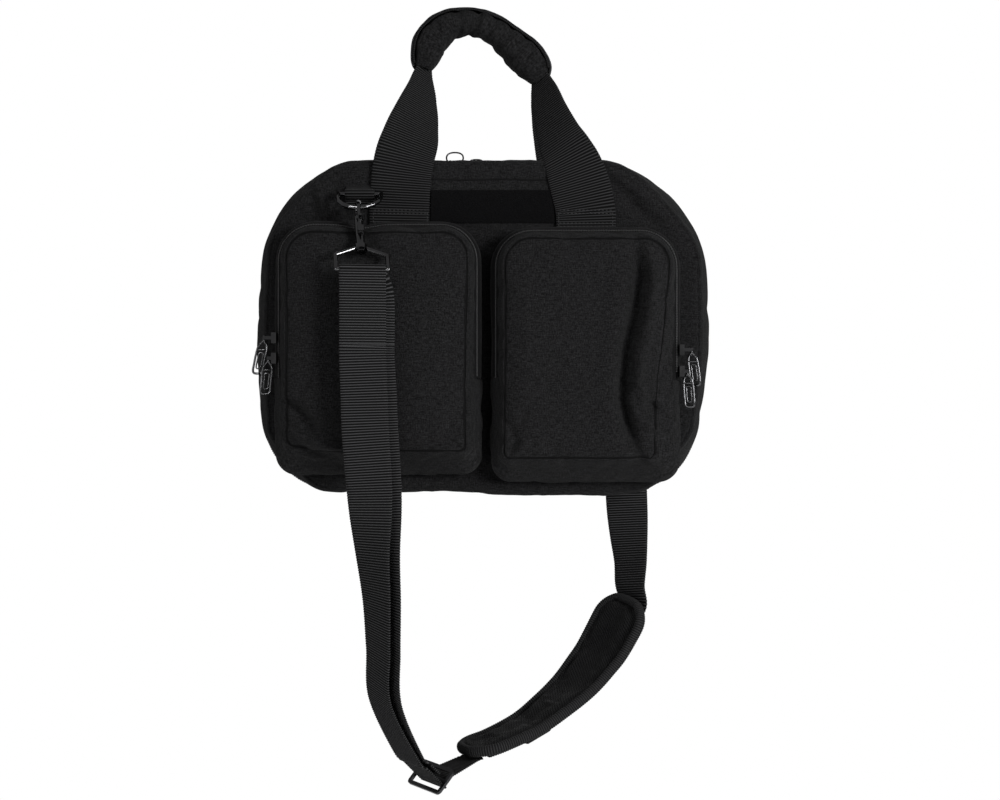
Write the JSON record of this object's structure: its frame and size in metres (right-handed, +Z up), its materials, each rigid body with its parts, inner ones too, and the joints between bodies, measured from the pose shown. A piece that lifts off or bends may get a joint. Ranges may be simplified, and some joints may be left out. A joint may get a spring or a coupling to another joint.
{
  "type": "soft flight bag",
  "caption": "Soft black clamshell flight bag with two zipped front pockets, wrapped twin carry handles, and a padded shoulder strap on swivel snap hooks.",
  "frame": {"origin": "middle of the base, on the plane of the main zipper", "axes": "+X to the right seen from the front, +Y to the back, +Z up"},
  "size_m": [0.38, 0.1986, 0.6674],
  "materials": {
    "shell_cloth": "matt woven polyester",
    "webbing": "ribbed webbing, slight sheen",
    "binding": "ribbed binding tape",
    "mesh": "diagonal twill mesh",
    "loop_pile": "fuzzy pile",
    "lining": "smooth lining",
    "board": "matt sheet",
    "coil": "nylon coil",
    "dark_metal": "black nickel, bright glints"
  },
  "bodies": {
    "bag_front": {"front_panel": "shell_cloth", "front_gusset": "shell_cloth", "front_foam_panel": "lining", "main_zip_front": "coil", "base_board": "board", "base_hinge_strip": "shell_cloth", "loop_panel": "loop_pile", "left_pocket_body": "shell_cloth", "left_pocket_zip_body": "coil", "right_pocket_body": "shell_cloth", "right_pocket_zip_body": "coil", "front_handle": "webbing", "grip_wrap": "shell_cloth", "front_d_ring_tab": "webbing", "strap_outer_layer": "webbing", "strap_inner_layer": "webbing", "shoulder_pad": "mesh", "pad_binding": "binding", "strap_rear_lower": "webbing", "strap_under_pad": "webbing", "pad_keeper_upper": "webbing", "pad_keeper_lower": "webbing", "left_zip_end_tab": "shell_cloth", "right_zip_end_tab": "shell_cloth"},
    "bag_rear": {"rear_panel": "shell_cloth", "rear_gusset": "shell_cloth", "rear_foam_panel": "lining", "main_zip_rear": "coil", "rear_inner_pocket": "lining", "rear_handle": "webbing", "rear_d_ring_tab": "webbing"},
    "grip_closing_flap": {"grip_flap": "shell_cloth"},
    "left_pocket_front": {"left_pocket_flap": "shell_cloth", "left_pocket_zip_flap": "coil"},
    "right_pocket_front": {"right_pocket_flap": "shell_cloth", "right_pocket_zip_flap": "coil"},
    "front_ring": {"front_d_ring": "dark_metal", "front_snap_hook": "dark_metal"},
    "front_bolt": {"front_snap_bolt": "dark_metal"},
    "front_strap": {"front_strap_frame": "dark_metal", "front_strap_end": "webbing"},
    "rear_ring": {"rear_d_ring": "dark_metal", "rear_snap_hook": "dark_metal"},
    "rear_bolt": {"rear_snap_bolt": "dark_metal"},
    "rear_strap": {"rear_strap_frame": "dark_metal", "rear_strap_end": "webbing"},
    "strap_adjuster": {"strap_slider": "dark_metal"},
    "left_zip_slider_upper": {"left_slider_upper": "dark_metal"},
    "left_zip_pull_upper": {"left_pull_upper": "dark_metal"},
    "left_zip_slider_lower": {"left_slider_lower": "dark_metal"},
    "left_zip_pull_lower": {"left_pull_lower": "dark_metal"},
    "right_zip_slider_upper": {"right_slider_upper": "dark_metal"},
    "right_zip_pull_upper": {"right_pull_upper": "dark_metal"},
    "right_zip_slider_lower": {"right_slider_lower": "dark_metal"},
    "right_zip_pull_lower": {"right_pull_lower": "dark_metal"},
    "main_zip_slider_a": {"main_slider_a": "dark_metal"},
    "main_zip_pull_a": {"main_pull_a": "dark_metal"},
    "main_zip_slider_b": {"main_slider_b": "dark_metal"},
    "main_zip_pull_b": {"main_pull_b": "dark_metal"}
  },
  "joints": [
    {"name": "main_opening", "type": "hinge", "parent": "bag_front", "child": "bag_rear", "pos_m": [0, 0, 0], "axis": [-1, 0, 0], "range_deg": [0, 75]},
    {"name": "grip_unwrap", "type": "hinge", "parent": "bag_front", "child": "grip_closing_flap", "pos_m": [-0.004, 0.022, 0.3605], "axis": [-1, 0, 0], "range_deg": [0, 112.5]},
    {"name": "left_pocket_open", "type": "hinge", "parent": "bag_front", "child": "left_pocket_front", "pos_m": [-0.0895, -0.092, 0.094], "axis": [1, 0, 0], "range_deg": [0, 14]},
    {"name": "right_pocket_open", "type": "hinge", "parent": "bag_front", "child": "right_pocket_front", "pos_m": [0.0835, -0.092, 0.094], "axis": [1, 0, 0], "range_deg": [0, 42]},
    {"name": "front_ring_swing", "type": "hinge", "parent": "bag_front", "child": "front_ring", "pos_m": [-0.106, -0.058, 0.252], "axis": [-1, 0, 0], "range_deg": [0, 36.4]},
    {"name": "front_swivel", "type": "hinge", "parent": "front_ring", "child": "front_strap", "pos_m": [-0.106, -0.07766, 0.23823], "axis": [0.1045, -0.5846, -0.8046], "range_deg": [-20, 20]},
    {"name": "front_bolt_slide", "type": "slide", "parent": "front_ring", "child": "front_bolt", "axis": [0.1045, -0.5846, -0.8046], "range_m": [0, 0.006], "stiffness_N_per_m": 300, "springref_m": -0.004},
    {"name": "rear_ring_swing", "type": "hinge", "parent": "bag_rear", "child": "rear_ring", "pos_m": [0.128, 0.058, 0.252], "axis": [1, 0, 0], "range_deg": [0, 6]},
    {"name": "rear_swivel", "type": "hinge", "parent": "rear_ring", "child": "rear_strap", "pos_m": [0.128, 0.06134, 0.22823], "axis": [0, 0, -1], "range_deg": [-12, 12]},
    {"name": "rear_bolt_slide", "type": "slide", "parent": "rear_ring", "child": "rear_bolt", "axis": [0, 0, -1], "range_m": [0, 0.006], "stiffness_N_per_m": 300, "springref_m": -0.004},
    {"name": "left_slider_upper_run", "type": "slide", "parent": "bag_front", "child": "left_zip_slider_upper", "axis": [0, 0, 1], "range_m": [0, 0.05]},
    {"name": "left_slider_lower_run", "type": "slide", "parent": "bag_front", "child": "left_zip_slider_lower", "axis": [0, 0, 1], "range_m": [-0.01, 0]},
    {"name": "left_pull_upper_lift", "type": "hinge", "parent": "left_zip_slider_upper", "child": "left_zip_pull_upper", "pos_m": [-0.1842, -0.0757, 0.129], "axis": [0, 1, 0], "range_deg": [0, 110]},
    {"name": "left_pull_lower_lift", "type": "hinge", "parent": "left_zip_slider_lower", "child": "left_zip_pull_lower", "pos_m": [-0.1808, -0.0757, 0.112], "axis": [0, 1, 0], "range_deg": [0, 110]},
    {"name": "right_slider_upper_run", "type": "slide", "parent": "bag_front", "child": "right_zip_slider_upper", "axis": [0, 0, 1], "range_m": [0, 0.06]},
    {"name": "right_slider_lower_run", "type": "slide", "parent": "bag_front", "child": "right_zip_slider_lower", "axis": [0, 0, 1], "range_m": [-0.004, 0]},
    {"name": "right_pull_upper_lift", "type": "hinge", "parent": "right_zip_slider_upper", "child": "right_zip_pull_upper", "pos_m": [0.1732, -0.0757, 0.119], "axis": [0, -1, 0], "range_deg": [0, 110]},
    {"name": "right_pull_lower_lift", "type": "hinge", "parent": "right_zip_slider_lower", "child": "right_zip_pull_lower", "pos_m": [0.1698, -0.0757, 0.101], "axis": [0, -1, 0], "range_deg": [0, 110]},
    {"name": "main_slider_a_run", "type": "slide", "parent": "bag_front", "child": "main_zip_slider_a", "axis": [1, 0, 0], "range_m": [-0.06, 0]},
    {"name": "main_slider_b_run", "type": "slide", "parent": "bag_front", "child": "main_zip_slider_b", "axis": [1, 0, 0], "range_m": [0, 0.08]},
    {"name": "main_pull_a_tip", "type": "hinge", "parent": "main_zip_slider_a", "child": "main_zip_pull_a", "pos_m": [-0.027, 0, 0.2878], "axis": [1, 0, 0], "range_deg": [-60, 60]},
    {"name": "main_pull_b_tip", "type": "hinge", "parent": "main_zip_slider_b", "child": "main_zip_pull_b", "pos_m": [-0.008, 0, 0.2878], "axis": [1, 0, 0], "range_deg": [-60, 60]},
    {"name": "strap_adjust", "type": "slide", "parent": "bag_front", "child": "strap_adjuster", "axis": [-0.5684, -0.444, 0.6927], "range_m": [0, 0.014]}
  ],
  "couplings": [
    {"joint": "grip_unwrap", "follows": "main_opening", "ratio": 1.5},
    {"joint": "front_ring_swing", "follows": "left_pocket_open", "ratio": 2.6},
    {"joint": "left_pull_lower_lift", "follows": "left_pull_upper_lift", "ratio": 1},
    {"joint": "right_pull_lower_lift", "follows": "right_pull_upper_lift", "ratio": 1}
  ]
}
